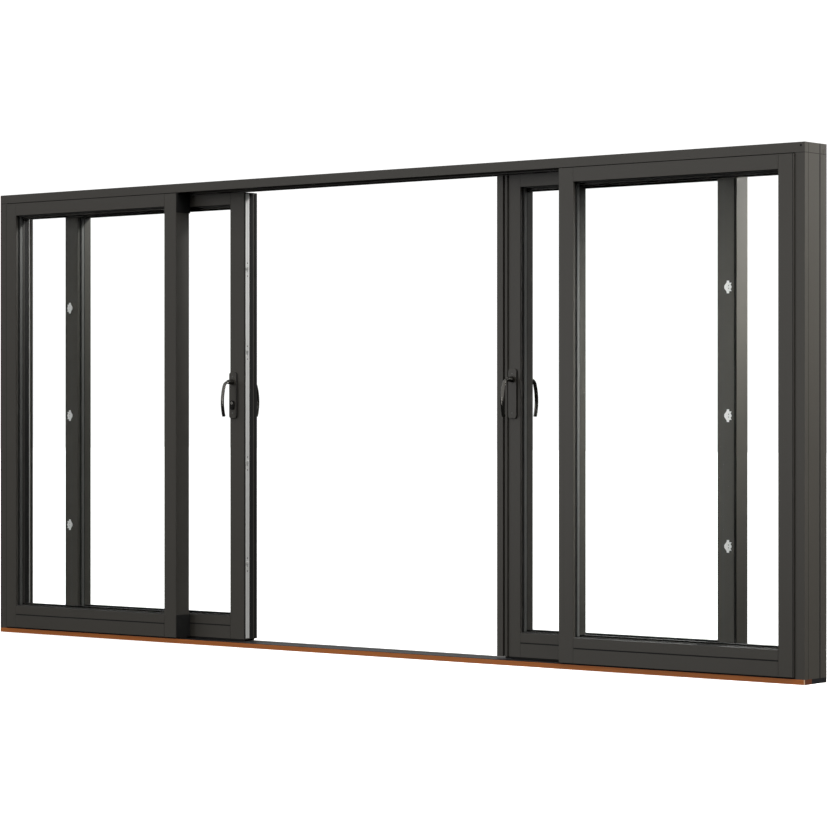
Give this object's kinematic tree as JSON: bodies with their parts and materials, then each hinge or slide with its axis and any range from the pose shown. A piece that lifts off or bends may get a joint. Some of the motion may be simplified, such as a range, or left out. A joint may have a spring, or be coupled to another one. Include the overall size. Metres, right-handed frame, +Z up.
{
  "type": "glass sliding patio door",
  "caption": "Wide patio door: glazed panels fixed at both ends and two glazed leaves that slide apart behind them on a low rail, with lever handles.",
  "frame": {"origin": "middle of the sill's flat underside", "axes": "+X along the door to the right seen from outside, +Y through the door into the building, +Z up"},
  "size_m": [4.48, 0.2595, 2.08],
  "materials": {
    "grey_paint": "dark warm grey powder coat",
    "oiled_wood": "oiled hardwood",
    "sill_metal": "dark anodised",
    "rail_steel": "plain",
    "light_liner": "light grey",
    "clear_glass": "clear sealed unit",
    "black_rubber": "matt black",
    "roller_steel": "plain",
    "black_plastic": "matt black",
    "handle_metal": "satin dark grey",
    "zinc_fitting": "silver white",
    "lock_metal": "satin silver",
    "cylinder_metal": "satin nickel"
  },
  "bodies": {
    "frame": {"fixed_seats": "black_rubber", "head": "grey_paint", "head_back_board": "grey_paint", "head_front_board": "grey_paint", "jamb_liners": "light_liner", "left_fixed_bottom_rail": "grey_paint", "left_fixed_glass": "clear_glass", "left_fixed_inner_stile": "grey_paint", "left_fixed_outer_stile": "grey_paint", "left_fixed_top_rail": "grey_paint", "left_jamb": "grey_paint", "right_fixed_bottom_rail": "grey_paint", "right_fixed_glass": "clear_glass", "right_fixed_inner_stile": "grey_paint", "right_fixed_outer_stile": "grey_paint", "right_fixed_top_rail": "grey_paint", "right_jamb": "grey_paint", "running_rail": "rail_steel", "sill": "sill_metal", "sill_nose": "sill_metal", "threshold": "oiled_wood"},
    "left_leaf": {"left_leaf_bottom_rail": "grey_paint", "left_leaf_glass": "clear_glass", "left_leaf_guide_shoes": "black_plastic", "left_leaf_handle_plates": "handle_metal", "left_leaf_inner_stile": "grey_paint", "left_leaf_key_cylinder": "cylinder_metal", "left_leaf_lock_strip": "lock_metal", "left_leaf_outer_stile": "grey_paint", "left_leaf_rollers": "roller_steel", "left_leaf_top_rail": "grey_paint", "left_leaf_wedges": "zinc_fitting"},
    "right_leaf": {"right_leaf_bottom_rail": "grey_paint", "right_leaf_glass": "clear_glass", "right_leaf_guide_shoes": "black_plastic", "right_leaf_handle_plates": "handle_metal", "right_leaf_inner_stile": "grey_paint", "right_leaf_meeting_cover": "grey_paint", "right_leaf_outer_stile": "grey_paint", "right_leaf_rollers": "roller_steel", "right_leaf_strike_strip": "lock_metal", "right_leaf_top_rail": "grey_paint", "right_leaf_wedges": "zinc_fitting"},
    "left_handle": {"left_leaf_inside_lever": "handle_metal", "left_leaf_outside_lever": "handle_metal"},
    "right_handle": {"right_leaf_inside_lever": "handle_metal", "right_leaf_outside_lever": "handle_metal"}
  },
  "joints": [
    {"name": "left_slide", "type": "slide", "parent": "frame", "child": "left_leaf", "axis": [1, 0, 0], "range_m": [-0.1, 0.74]},
    {"name": "right_slide", "type": "slide", "parent": "frame", "child": "right_leaf", "axis": [-1, 0, 0], "range_m": [-0.12, 0.72]},
    {"name": "left_lever", "type": "hinge", "parent": "left_leaf", "child": "left_handle", "pos_m": [-0.807, 0.049, 1.182], "axis": [0, 1, 0], "range_deg": [0, 180]},
    {"name": "right_lever", "type": "hinge", "parent": "right_leaf", "child": "right_handle", "pos_m": [0.772, 0.049, 1.182], "axis": [0, -1, 0], "range_deg": [0, 180]}
  ]
}
